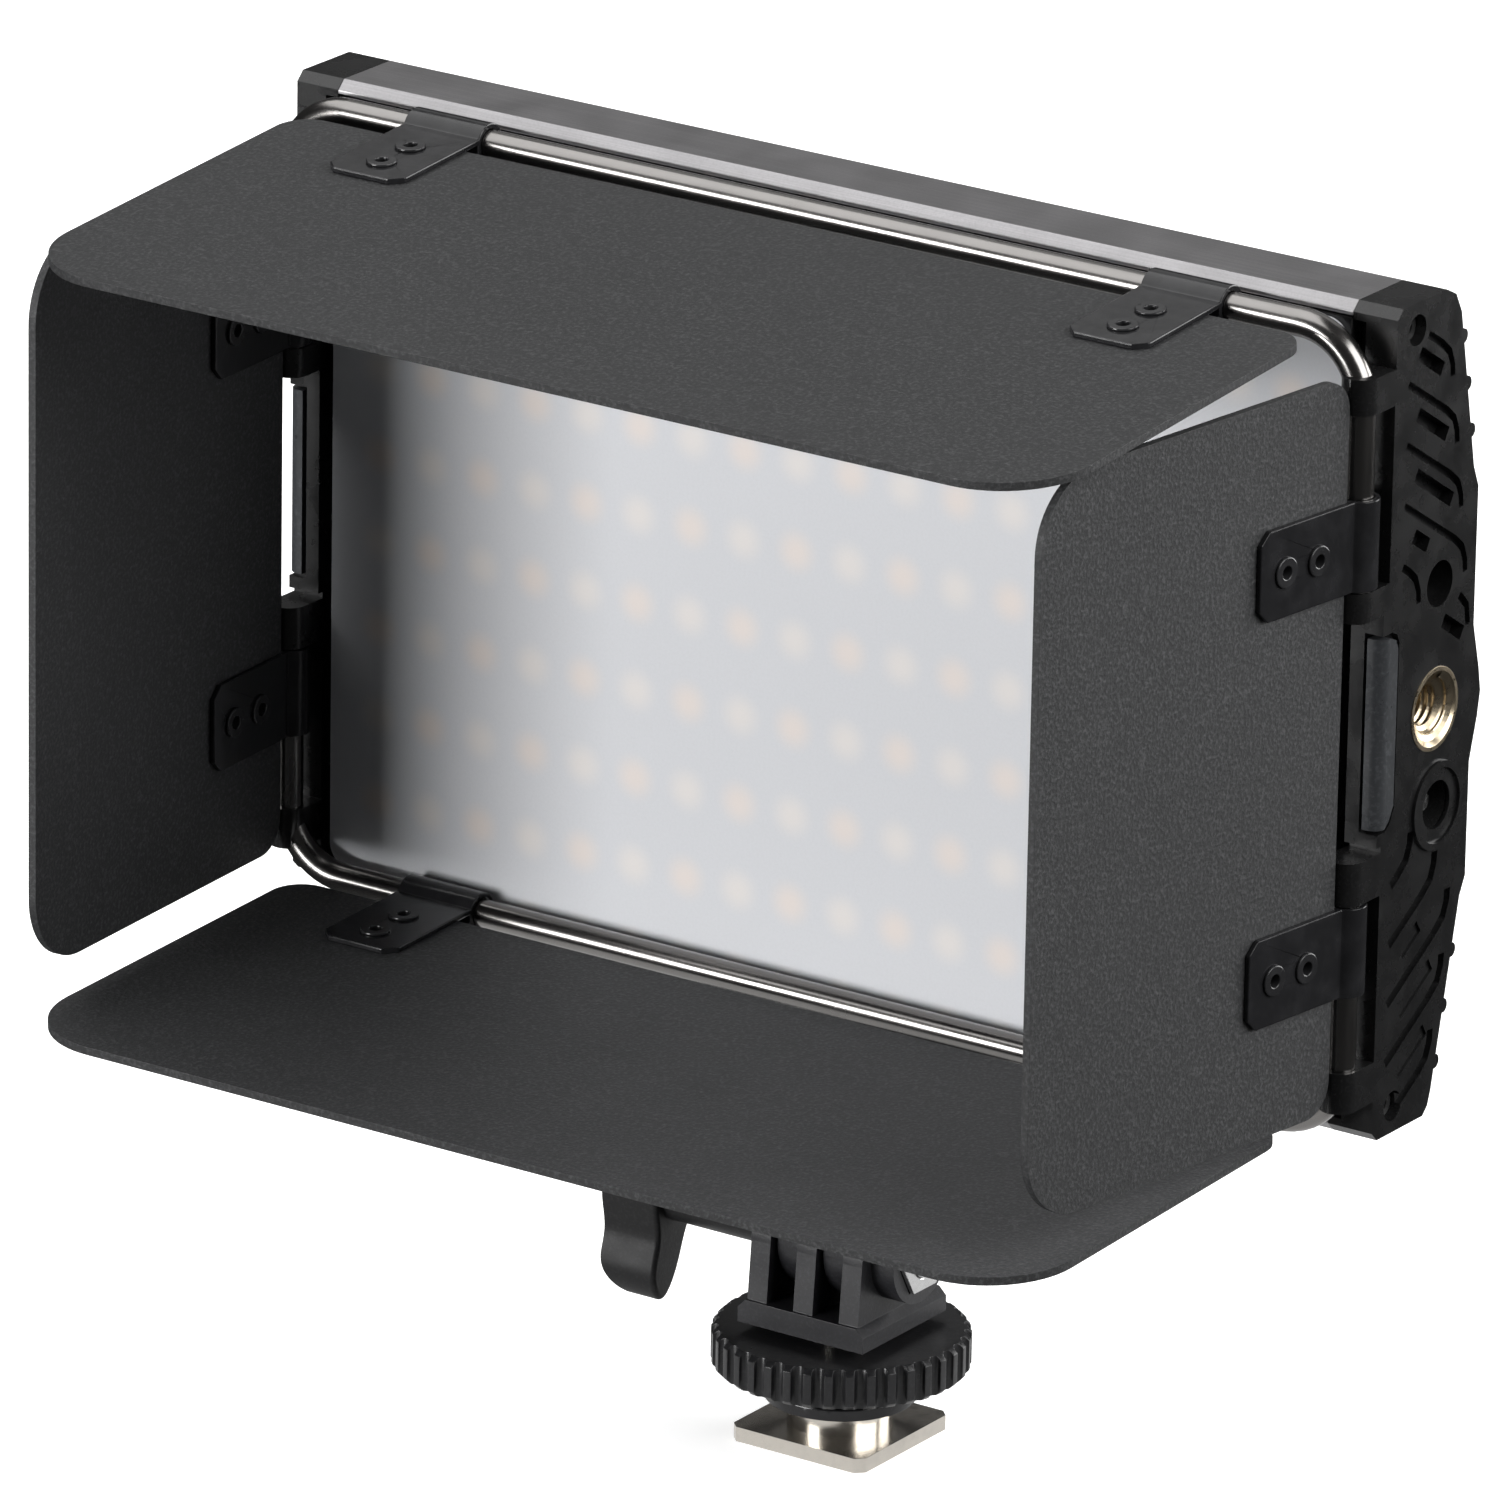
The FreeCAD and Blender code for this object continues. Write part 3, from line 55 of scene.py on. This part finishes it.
# The photographer's view: direction and roll in degrees, distance in metres, lens and sensor in
# millimetres. The aim is in millimetres from the middle of the housing's lower front edge.
VIEW_AZIMUTH, VIEW_ELEVATION, VIEW_ROLL = 34.13, 19.43, 0.985
VIEW_DISTANCE = 1.663
VIEW_AIM_X, VIEW_AIM_UP = -10.2, 28.7
LENS, SENSOR = 347.8, 36

# The lamp grid behind the diffuser, in millimetres, and the fade of each lamp's spot.
LED_COLUMNS, LED_PITCH_X, LED_PITCH_Z = 18, 7.3, 10.65
SPOT_CORE, SPOT_EDGE, SPOT_STRENGTH = 0.3, 3.5, 0.6

FACET_WELD = 0.002  # millimetres within which a node's mesh corners are joined before its edges are rounded
SHARP_ANGLE = 38  # degrees from which an edge is rounded


# ---- camera, floor and light -----------------------------------------------------------------------

def look_from(azimuth, elevation):
    """The direction from the object to a viewer. Azimuth 0 stands in front, and 90 at the object's right."""
    turn, rise = math.radians(azimuth), math.radians(elevation)
    return Vector((math.sin(turn) * math.cos(rise), -math.cos(turn) * math.cos(rise), math.sin(rise)))


def make_camera():
    target = Vector((VIEW_AIM_X * MM, FRONT_Y, BASE_Z + VIEW_AIM_UP * MM))
    back = look_from(VIEW_AZIMUTH, VIEW_ELEVATION)
    data = bpy.data.cameras.new("view_camera")
    data.sensor_width = SENSOR
    data.lens = LENS
    data.clip_start = 0.05
    data.clip_end = 50
    camera = bpy.data.objects.new("view_camera", data)
    camera.rotation_mode = "QUATERNION"
    roll = Matrix.Rotation(math.radians(VIEW_ROLL), 3, back)
    camera.location = target + back * VIEW_DISTANCE
    camera.rotation_quaternion = (roll @ (-back).to_track_quat("-Z", "Y").to_matrix()).to_quaternion()
    bpy.context.scene.collection.objects.link(camera)
    bpy.context.scene.camera = camera


def make_light(name, azimuth, elevation, distance, size, power):
    """A softbox that faces the middle of the housing's height."""
    aim = Vector((0, 0, (shell_low.z + shell_high.z) / 2))
    toward = look_from(azimuth, elevation)
    data = bpy.data.lights.new(name, "AREA")
    data.shape = "RECTANGLE"
    data.size, data.size_y = size
    data.energy = power
    light = bpy.data.objects.new(name, data)
    light.location = aim + toward * distance
    light.rotation_mode = "QUATERNION"
    light.rotation_quaternion = toward.to_track_quat("Z", "Y")
    bpy.context.scene.collection.objects.link(light)


def stage_piece(name, bm, colour, glow, hidden):
    """A piece of the studio with a matt, glowing surface, hidden from the kinds of ray that are named."""
    mesh = bpy.data.meshes.new(name)
    bm.to_mesh(mesh)
    bm.free()
    piece = bpy.data.objects.new(name, mesh)
    bpy.context.scene.collection.objects.link(piece)
    material = bpy.data.materials.new(name + "_paper")
    material.use_nodes = True
    shader = material.node_tree.nodes["Principled BSDF"]
    shader.inputs["Base Color"].default_value = (colour, colour, colour, 1)
    shader.inputs["Roughness"].default_value = 0.8
    shader.inputs["Emission Color"].default_value = (1, 1, 1, 1)
    shader.inputs["Emission Strength"].default_value = glow
    mesh.materials.append(material)
    for ray in hidden:
        setattr(piece, "visible_" + ray, False)


def flat_square(reach, height):
    bm = bmesh.new()
    bm.faces.new([bm.verts.new((x, y, height)) for x, y in
                  ((-reach, -reach), (reach, -reach), (reach, reach), (-reach, reach))])
    return bm


def make_stage():
    """A pale floor under a pale dome, and a small bright card below the foot that its plated edges mirror."""
    stage_piece("floor", flat_square(12, 0), 0.86, 0.68, ("diffuse", "glossy"))
    dome = bmesh.new()
    bmesh.ops.create_uvsphere(dome, u_segments=48, v_segments=24, radius=11)
    stage_piece("dome", dome, 0.0, 0.90, ("diffuse", "glossy", "shadow"))
    stage_piece("reflector_card", flat_square(0.09, -MM), 0.3, 0.75, ("camera", "diffuse", "shadow"))

    world = bpy.data.worlds.new("studio")
    world.use_nodes = True
    background = world.node_tree.nodes["Background"]
    background.inputs["Color"].default_value = (1, 1, 1, 1)
    background.inputs["Strength"].default_value = 0.04
    bpy.context.scene.world = world
    bpy.context.scene.view_settings.view_transform = "Standard"


# ---- node materials --------------------------------------------------------------------------------

class Surface:
    """A node material in the making: one shader, object coordinates, and the textures that drive it."""

    def __init__(self, name, colour, roughness, metallic=0.0, **sockets):
        self.material = bpy.data.materials.new(name)
        self.material.use_nodes = True
        self.tree = self.material.node_tree
        self.shader = self.tree.nodes["Principled BSDF"]
        self.colour = colour
        self.roughness = roughness
        self.shader.inputs["Base Color"].default_value = (*colour, 1)
        self.shader.inputs["Roughness"].default_value = roughness
        self.shader.inputs["Metallic"].default_value = metallic
        for socket, value in sockets.items():
            self.shader.inputs[socket.replace("_", " ")].default_value = value
        self.place = self.add("ShaderNodeTexCoord").outputs["Object"]
        self.normal = None

    def add(self, kind, **settings):
        node = self.tree.nodes.new(kind)
        for key, value in settings.items():
            setattr(node, key, value)
        return node

    def link(self, source, target):
        self.tree.links.new(source, target)

    def math(self, operation, *values):
        node = self.add("ShaderNodeMath", operation=operation)
        for index, value in enumerate(values):
            if isinstance(value, (int, float)):
                node.inputs[index].default_value = value
            else:
                self.link(value, node.inputs[index])
        return node.outputs[0]

    def noise(self, size_mm, detail=3.0, stretch=(1, 1, 1), roughness=0.55):
        """Noise whose features are about size_mm across, stretched along the axes if asked."""
        mapping = self.add("ShaderNodeMapping")
        mapping.inputs["Scale"].default_value = tuple(1 / (size_mm * MM * s) for s in stretch)
        self.link(self.place, mapping.inputs["Vector"])
        node = self.add("ShaderNodeTexNoise")
        node.inputs["Scale"].default_value = 1.0
        node.inputs["Detail"].default_value = detail
        node.inputs["Roughness"].default_value = roughness
        self.link(mapping.outputs["Vector"], node.inputs["Vector"])
        return node.outputs["Fac"]

    def pits(self, size_mm):
        """Rounded cells about size_mm across, for moulded textures."""
        node = self.add("ShaderNodeTexVoronoi")
        node.inputs["Scale"].default_value = 1 / (size_mm * MM)
        self.link(self.place, node.inputs["Vector"])
        return node.outputs["Distance"]

    def ramp(self, source, low, high, start=0.0, stop=1.0, curve="LINEAR"):
        """Maps a source value from low..high onto start..stop, held at the ends."""
        node = self.add("ShaderNodeMapRange", interpolation_type=curve)
        node.clamp = True
        for socket, value in zip(("From Min", "From Max", "To Min", "To Max"), (low, high, start, stop)):
            node.inputs[socket].default_value = value
        self.link(source, node.inputs["Value"])
        return node.outputs["Result"]

    def tint(self, factor, colour):
        """Blends the colour so far towards another one by a factor between 0 and 1."""
        node = self.add("ShaderNodeMix", data_type="RGBA")
        self.link(factor, node.inputs[0])
        current = self.shader.inputs["Base Color"]
        if current.is_linked:
            self.link(current.links[0].from_socket, node.inputs[6])
        else:
            node.inputs[6].default_value = (*self.colour, 1)
        node.inputs[7].default_value = (*colour, 1)
        self.link(node.outputs[2], self.shader.inputs["Base Color"])
        return self

    def vary_roughness(self, factor, swing):
        self.link(self.ramp(factor, 0.25, 0.75, self.roughness - swing, self.roughness + swing),
                  self.shader.inputs["Roughness"])
        return self

    def bump(self, height, depth_mm, strength=1.0):
        """Adds a height texture on top of those already there."""
        node = self.add("ShaderNodeBump")
        node.inputs["Distance"].default_value = depth_mm * MM
        node.inputs["Strength"].default_value = strength
        self.link(height, node.inputs["Height"])
        if self.normal is not None:
            self.link(self.normal, node.inputs["Normal"])
        self.normal = node.outputs["Normal"]
        self.link(self.normal, self.shader.inputs["Normal"])
        return self


def powder_coat():
    """Charcoal powder coat: a sandy grain with pale flecks, and slow changes of gloss."""
    s = Surface("door_coating", (0.029, 0.0295, 0.0305), 0.55, Specular_IOR_Level=0.3)
    grain = s.noise(0.45, detail=4, roughness=0.6)
    s.tint(s.ramp(grain, 0.48, 0.75), (0.078, 0.079, 0.081))
    s.tint(s.ramp(s.noise(26, detail=2), 0.35, 0.75, 0.0, 0.2), (0.024, 0.024, 0.025))
    s.vary_roughness(s.noise(9, detail=3), 0.02)
    return s.bump(s.pits(0.5), 0.05, 0.5).bump(grain, 0.09, 0.7).material


def moulded_black(name, colour, roughness, grain_mm=0.3, depth_mm=0.05, specular=0.35):
    """Black moulded plastic with a spark-eroded grain and slightly paler, worn high spots."""
    s = Surface(name, colour, roughness, Specular_IOR_Level=specular)
    grain = s.noise(grain_mm, detail=3)
    s.tint(s.ramp(grain, 0.5, 0.8), tuple(c * 1.9 + 0.004 for c in colour))
    s.tint(s.ramp(s.noise(11, detail=3), 0.5, 0.8, 0.0, 0.5), tuple(c * 0.7 for c in colour))
    s.vary_roughness(s.noise(5, detail=4), 0.07)
    return s.bump(grain, depth_mm, 0.5).material


def gloss_enamel(name, colour):
    """Black stove enamel over pressed steel: glossy, with faint orange peel."""
    s = Surface(name, colour, 0.22, Specular_IOR_Level=0.3, Coat_Weight=0.1, Coat_Roughness=0.1)
    s.tint(s.ramp(s.noise(3.5, detail=3), 0.45, 0.8, 0.0, 0.6), tuple(c * 2.0 + 0.004 for c in colour))
    s.vary_roughness(s.noise(1.6, detail=3), 0.05)
    return s.bump(s.noise(0.9, detail=2), 0.04, 0.35).material


def bright_metal(name, colour, roughness, streak=(1, 1, 1)):
    """Plated or polished metal with fine drawn streaks and faint tarnish."""
    s = Surface(name, colour, roughness, metallic=1.0)
    streaks = s.noise(1.2, detail=3, stretch=streak)
    s.tint(s.ramp(streaks, 0.45, 0.8, 0.0, 0.7), tuple(c * 0.88 for c in colour))
    s.tint(s.ramp(s.noise(6, detail=4), 0.55, 0.8, 0.0, 0.4), tuple(c * 0.8 for c in colour))
    s.vary_roughness(streaks, roughness * 0.2)
    return s.bump(streaks, 0.003, 0.3).material


def anodised():
    """Satin anodised extrusion: fine lines along the extrusion and a bead-blasted grain."""
    s = Surface("anodised_aluminium", (0.30, 0.294, 0.30), 0.42, metallic=1.0)
    lines = s.noise(0.22, detail=2, stretch=(160, 1, 1))
    s.tint(s.ramp(lines, 0.42, 0.75, 0.0, 0.8), (0.36, 0.352, 0.36))
    s.tint(s.ramp(s.noise(0.3, detail=3), 0.45, 0.8, 0.0, 0.5), (0.24, 0.235, 0.24))
    s.vary_roughness(s.noise(7, detail=3), 0.05)
    return s.bump(lines, 0.01, 0.35).material


def frosted_panel():
    """Frosted acrylic with the lamps' rows showing through as soft warm and cool spots."""
    s = Surface("frosted_acrylic", (0.69, 0.70, 0.73), 0.42, Specular_IOR_Level=0.6)
    axes = s.add("ShaderNodeSeparateXYZ")
    s.link(s.place, axes.inputs[0])
    middle_z = (diffuser_low.z + diffuser_high.z) / 2
    height = s.math("SUBTRACT", axes.outputs["Z"], middle_z)

    # Each lamp's place on the grid, and how far a point is from the nearest lamp in millimetres.
    across = s.math("ADD", s.math("DIVIDE", axes.outputs["X"], LED_PITCH_X * MM), 0.5)
    up = s.math("ADD", s.math("DIVIDE", height, LED_PITCH_Z * MM), 0.5)
    column = s.math("ROUND", across)
    line = s.math("ROUND", up)
    off_x = s.math("MULTIPLY", s.math("SUBTRACT", across, column), LED_PITCH_X)
    off_z = s.math("MULTIPLY", s.math("SUBTRACT", up, line), LED_PITCH_Z)
    squares = s.math("ADD", s.math("MULTIPLY", off_x, off_x), s.math("MULTIPLY", off_z, off_z))
    spot = s.ramp(s.math("SQRT", squares), SPOT_CORE, SPOT_EDGE, 1.0, 0.0, curve="SMOOTHSTEP")

    # No spots past the outer columns. Warm and cool lamps take turns along both ways of the grid.
    off_middle = s.math("ABSOLUTE", s.math("SUBTRACT", column, 0.5))
    inside = s.ramp(off_middle, LED_COLUMNS / 2, LED_COLUMNS / 2 + 0.1, 1.0, 0.0)
    spot = s.math("MULTIPLY", spot, inside)
    parity = s.math("ABSOLUTE", s.math("MODULO", s.math("ADD", column, line), 2.0))
    warm = s.math("MULTIPLY", s.math("MULTIPLY", spot, parity), SPOT_STRENGTH)
    cool = s.math("MULTIPLY", s.math("MULTIPLY", spot, s.math("SUBTRACT", 1.0, parity)), SPOT_STRENGTH)
    s.tint(s.ramp(s.noise(0.35, detail=3), 0.4, 0.8, 0.0, 0.35), (0.62, 0.63, 0.65))
    s.tint(warm, (0.88, 0.76, 0.68))
    s.tint(cool, (0.86, 0.80, 0.75))
    s.vary_roughness(s.noise(12, detail=2), 0.03)
    return s.bump(s.noise(0.25, detail=2), 0.03, 0.35).material


def plain_board(name, colour, roughness, fleck):
    """Printed board, wrap or glass: an even coat with fine flecks."""
    s = Surface(name, colour, roughness)
    s.tint(s.ramp(s.noise(1.2, detail=4), 0.5, 0.75, 0.0, 0.7), fleck)
    return s.vary_roughness(s.noise(4), 0.04).material


def smoked_glass():
    s = Surface("window_glass", (0.012, 0.014, 0.016), 0.07, Coat_Weight=0.6, Coat_Roughness=0.03)
    s.tint(s.ramp(s.noise(2.2, detail=2), 0.5, 0.8, 0.0, 0.5), (0.02, 0.022, 0.026))
    return s.vary_roughness(s.noise(6), 0.03).material


SURFACES = {
    "door_coating": powder_coat(),
    "strap_enamel": gloss_enamel("strap_enamel", (0.012, 0.012, 0.013)),
    "rivet_enamel": gloss_enamel("rivet_enamel", (0.016, 0.016, 0.017)),
    "anodised_aluminium": anodised(),
    "cap_plastic": moulded_black("cap_plastic", (0.007, 0.007, 0.0072), 0.27, depth_mm=0.02, specular=0.45),
    "pad_plastic": moulded_black("pad_plastic", (0.037, 0.039, 0.042), 0.3, grain_mm=0.5, depth_mm=0.012),
    "mount_plastic": moulded_black("mount_plastic", (0.016, 0.016, 0.018), 0.36, grain_mm=0.4, depth_mm=0.03),
    "lever_plastic": moulded_black("lever_plastic", (0.010, 0.010, 0.0105), 0.45, grain_mm=0.4, depth_mm=0.03,
                                   specular=0.2),
    "wheel_plastic": moulded_black("wheel_plastic", (0.013, 0.013, 0.014), 0.32, grain_mm=0.5, depth_mm=0.03),
    "black_washer": gloss_enamel("black_washer", (0.012, 0.012, 0.013)),
    "black_screw_steel": gloss_enamel("black_screw_steel", (0.02, 0.02, 0.02)),
    "plated_steel": bright_metal("plated_steel", (0.66, 0.62, 0.56), 0.2),
    "bright_steel": bright_metal("bright_steel", (0.62, 0.62, 0.62), 0.24),
    "insert_brass": bright_metal("insert_brass", (0.50, 0.42, 0.30), 0.30),
    "rod_steel": bright_metal("rod_steel", (0.22, 0.212, 0.205), 0.24, streak=(8, 1, 8)),
    "bare_aluminium": bright_metal("bare_aluminium", (0.80, 0.80, 0.80), 0.35),
    "frosted_acrylic": frosted_panel(),
    "white_plastic": plain_board("white_plastic", (0.80, 0.80, 0.79), 0.5, (0.74, 0.74, 0.73)),
    "board_white": plain_board("board_white", (0.78, 0.78, 0.76), 0.45, (0.70, 0.70, 0.68)),
    "led_warm_phosphor": plain_board("led_warm_phosphor", (0.90, 0.56, 0.22), 0.35, (0.80, 0.46, 0.16)),
    "led_cool_phosphor": plain_board("led_cool_phosphor", (0.90, 0.82, 0.40), 0.35, (0.80, 0.72, 0.30)),
    "battery_wrap": plain_board("battery_wrap", (0.05, 0.13, 0.36), 0.3, (0.04, 0.10, 0.30)),
    "board_green": plain_board("board_green", (0.02, 0.12, 0.05), 0.35, (0.03, 0.16, 0.07)),
    "encoder_case": moulded_black("encoder_case", (0.03, 0.03, 0.03), 0.4),
    "display_glass": plain_board("display_glass", (0.03, 0.035, 0.04), 0.15, (0.04, 0.045, 0.05)),
    "panel_plastic": moulded_black("panel_plastic", (0.014, 0.014, 0.015), 0.42),
    "window_glass": smoked_glass(),
    "dial_plastic": moulded_black("dial_plastic", (0.022, 0.022, 0.023), 0.36, grain_mm=0.4, depth_mm=0.02),
    "button_plastic": moulded_black("button_plastic", (0.045, 0.045, 0.048), 0.4, depth_mm=0.02),
    "jack_plastic": moulded_black("jack_plastic", (0.012, 0.012, 0.012), 0.25, depth_mm=0.01),
}

# Radius in millimetres of the small round on each node's sharp edges.
EDGE_ROUND = {
    "housing_shell": 0.12, "end_cap_left": 0.3, "end_cap_right": 0.3, "fork": 0.25, "tilt_bracket": 0.25,
    "shoe_foot": 0.18, "locking_wheel": 0.2, "clamp_washer": 0.15, "clamp_nut": 0.15, "bezel": 0.2,
    "diffuser": 0.25, "rear_panel": 0.25, "thread_insert": 0.1, "display_window": 0.1,
}
for side in ("top", "bottom", "left", "right"):
    EDGE_ROUND[f"door_{side}"] = 0.22
    EDGE_ROUND[f"straps_{side}"] = 0.16
    EDGE_ROUND[f"rivets_{side}"] = 0.14


def finish_node(name, slot):
    """Gives a CAD node its material, and rounds its sharp edges if EDGE_ROUND has a radius for it."""
    node = NODES[name]
    node.data.materials.clear()
    node.data.materials.append(SURFACES[slot])
    if name not in EDGE_ROUND:
        return
    weld = node.modifiers.new("join_facets", "WELD")
    weld.merge_threshold = FACET_WELD * MM
    bevel = node.modifiers.new("edge_round", "BEVEL")
    bevel.limit_method = "ANGLE"
    bevel.angle_limit = math.radians(SHARP_ANGLE)
    bevel.width = EDGE_ROUND[name] * MM
    bevel.segments = 2
    bevel.use_clamp_overlap = True
    even = node.modifiers.new("even_normals", "WEIGHTED_NORMAL")
    even.keep_sharp = True


def make_insert_thread():
    """The thread inside the side insert: one ridge that winds along the bore and out over its lead cone."""
    low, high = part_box("thread_insert")
    centre_y, centre_z = (low.y + high.y) / 2, (low.z + high.z) / 2
    bore, mouth, cone_depth = 2.6 * MM, 4.4 * MM, 1.6 * MM
    pitch, ridge = 0.9 * MM, 0.3 * MM
    start, stop = low.x + 0.9 * MM, high.x - 0.4 * MM
    root = -0.04 * MM  # the ridge's foot lies this far inside the bore's wall
    profile = ((-0.42, root), (-0.08, ridge), (0.08, ridge), (0.42, root))  # shift in pitches, height
    per_turn = 36
    steps = int((stop - start) / pitch * per_turn)
    mesh = bpy.data.meshes.new("insert_thread")
    bm = bmesh.new()
    rings = []
    for step in range(steps + 1):
        turn = 2 * math.pi * step / per_turn
        along = start + pitch * step / per_turn
        ring = []
        for shift, proud in profile:
            x = along + shift * pitch
            into_cone = max(0.0, 1.0 - (high.x - x) / cone_depth)
            radius = bore + (mouth - bore) * into_cone - proud
            ring.append(bm.verts.new((x, centre_y + radius * math.cos(turn),
                                      centre_z + radius * math.sin(turn))))
        rings.append(ring)
    for near, far in zip(rings, rings[1:]):
        for index in range(len(profile) - 1):
            bm.faces.new((near[index], far[index], far[index + 1], near[index + 1]))
    bmesh.ops.recalc_face_normals(bm, faces=bm.faces[:])
    bm.to_mesh(mesh)
    bm.free()
    thread = bpy.data.objects.new("insert_thread", mesh)
    bpy.context.scene.collection.objects.link(thread)
    mesh.materials.append(SURFACES["insert_brass"])
    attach(thread, "panel")


make_camera()
make_stage()
make_light("key_softbox", -23, 4, 1.3, (0.6, 0.5), 18)
make_light("right_softbox", 95, 30, 1.6, (1.4, 1.4), 32)
make_light("top_softbox", -75, 62, 1.6, (1.9, 1.6), 22)
make_light("back_softbox", 200, 42, 1.6, (1.2, 1.0), 2)
make_light("rear_softbox", 148, 6, 1.6, (1.0, 0.8), 16)

for part in frame["record"]["subparts"]:
    finish_node(part["node"], part["material_slot"])
make_insert_thread()
